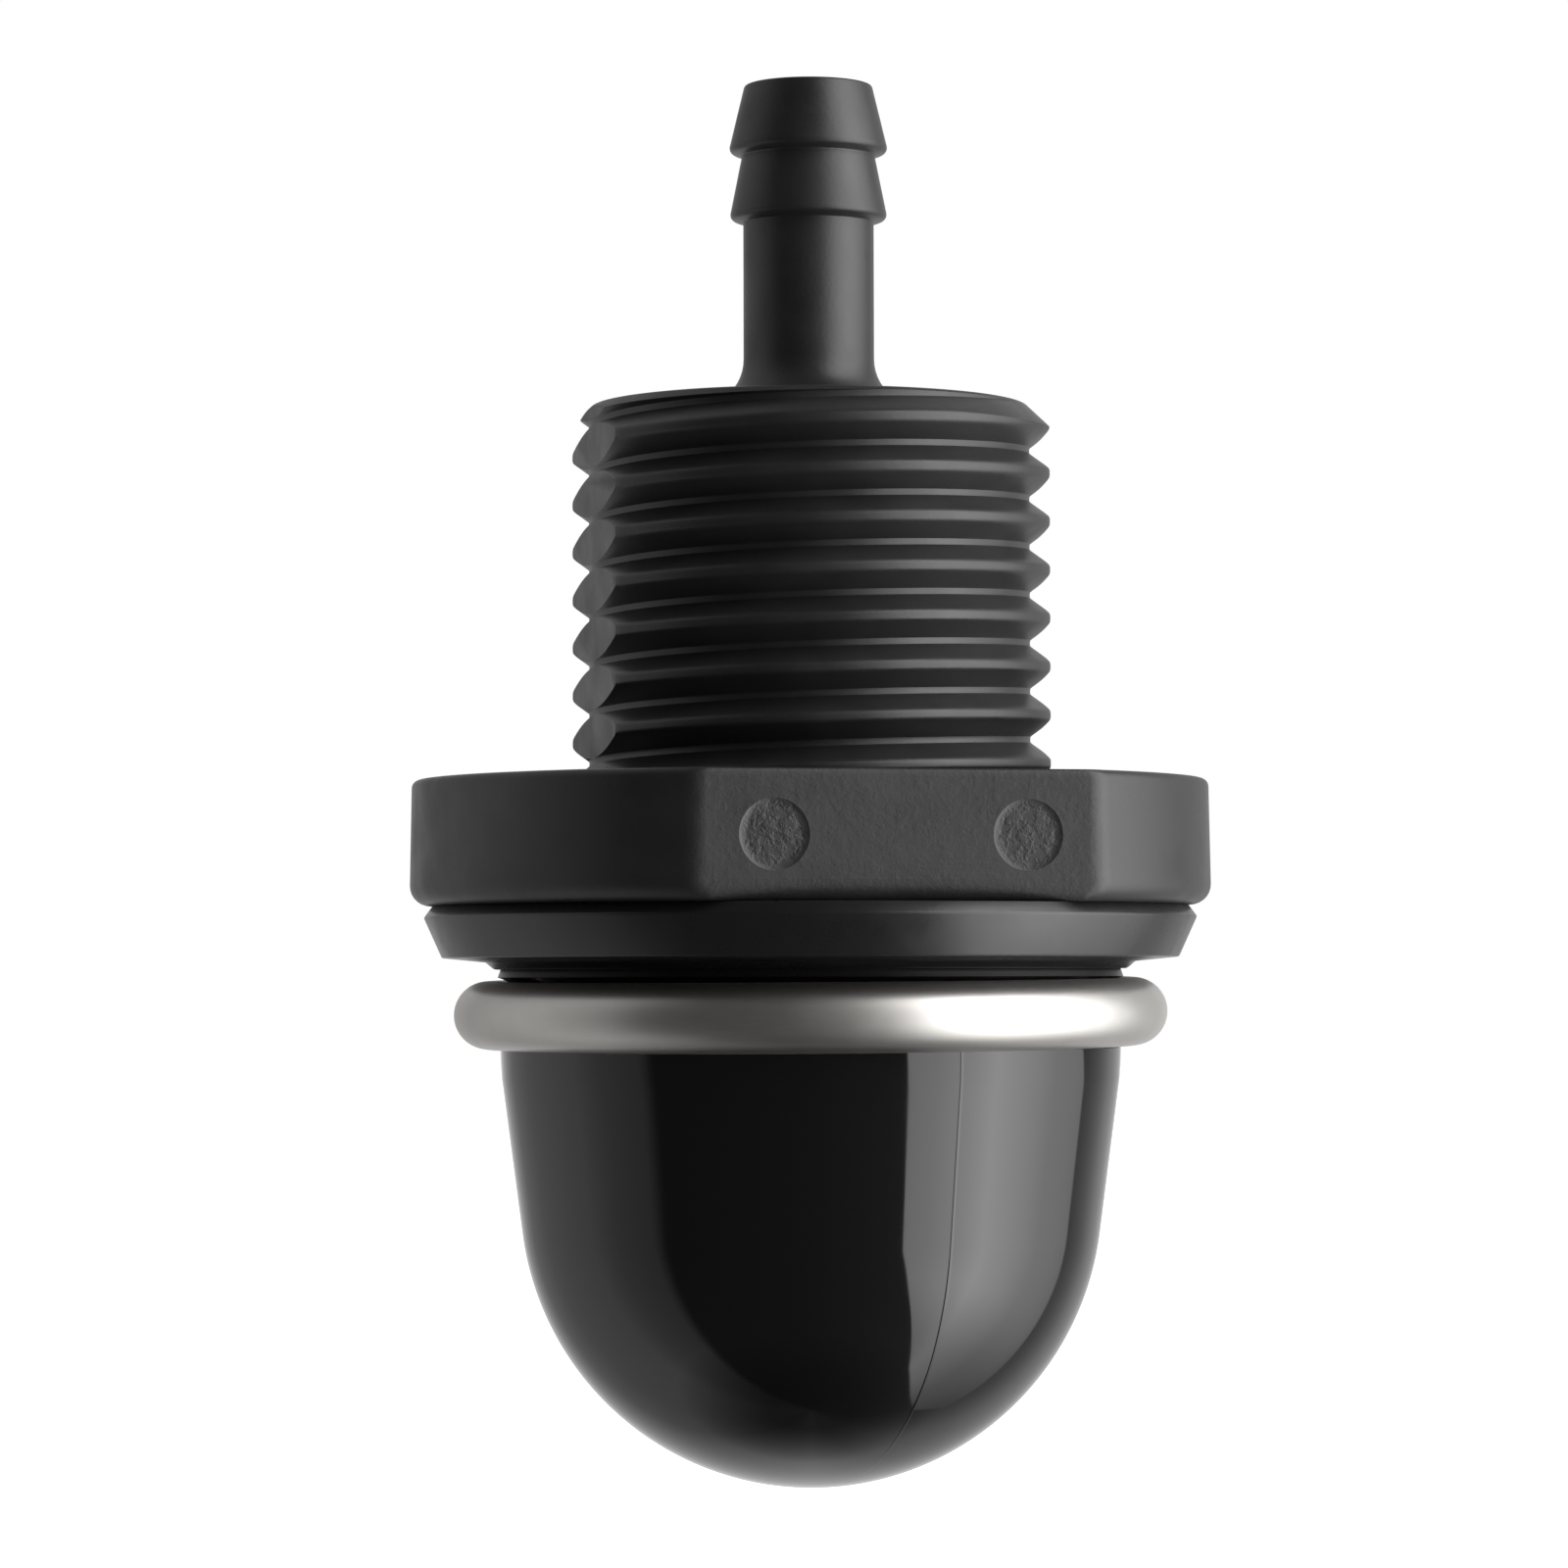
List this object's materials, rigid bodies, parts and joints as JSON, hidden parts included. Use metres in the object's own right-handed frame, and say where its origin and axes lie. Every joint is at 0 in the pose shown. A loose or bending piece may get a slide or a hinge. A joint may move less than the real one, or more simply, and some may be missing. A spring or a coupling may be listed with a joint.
{
  "type": "siphon bulb pump",
  "caption": "Panel-mounted siphon bulb pump: rubber squeeze bulb held by a wire ring under a threaded shank with a hose barb, ball valves inside.",
  "frame": {"origin": "centre of the flange's panel face, on the axis of the shank", "axes": "+Z along the shank towards the hose barb, -Y out of the spanner flat with the two ejector marks, X across the shank's two thread flats"},
  "size_m": [0.0332, 0.032, 0.0582],
  "materials": {
    "black_nylon": "satin glass-filled nylon with fine moulding grain",
    "black_rubber": "glossy moulded rubber",
    "ring_steel": "satin plated steel wire",
    "natural_acetal": "satin natural acetal",
    "seal_rubber": "matt nitrile rubber",
    "spring_steel": "bright drawn stainless wire and band",
    "ball_steel": "polished stainless steel",
    "brass": "turned brass"
  },
  "bodies": {
    "fitting": {"fitting_body": "black_nylon", "retaining_ring": "ring_steel", "valve_carrier": "natural_acetal", "carrier_o_ring": "seal_rubber", "outlet_o_ring": "seal_rubber", "snap_ring": "spring_steel", "delivery_spring": "spring_steel", "delivery_cap": "brass", "inlet_spring": "spring_steel", "inlet_cap": "brass"},
    "bulb": {"rubber_bulb": "black_rubber"},
    "delivery_valve": {"delivery_ball": "ball_steel"},
    "inlet_valve": {"inlet_ball": "ball_steel"}
  },
  "joints": [
    {"name": "bulb_press", "type": "slide", "parent": "fitting", "child": "bulb", "axis": [0, 0, 1], "range_m": [0, 0.01], "stiffness_N_per_m": 1500, "deforming": ["rubber_bulb"]},
    {"name": "delivery_ball_lift", "type": "slide", "parent": "fitting", "child": "delivery_valve", "axis": [0, 0, 1], "range_m": [0, 0.001], "stiffness_N_per_m": 60, "springref_m": -0.0005, "deforming": ["delivery_spring"]},
    {"name": "inlet_ball_lift", "type": "slide", "parent": "fitting", "child": "inlet_valve", "axis": [0, 0, -1], "range_m": [0, 0.001], "stiffness_N_per_m": 60, "springref_m": -0.0005, "deforming": ["inlet_spring"]}
  ]
}
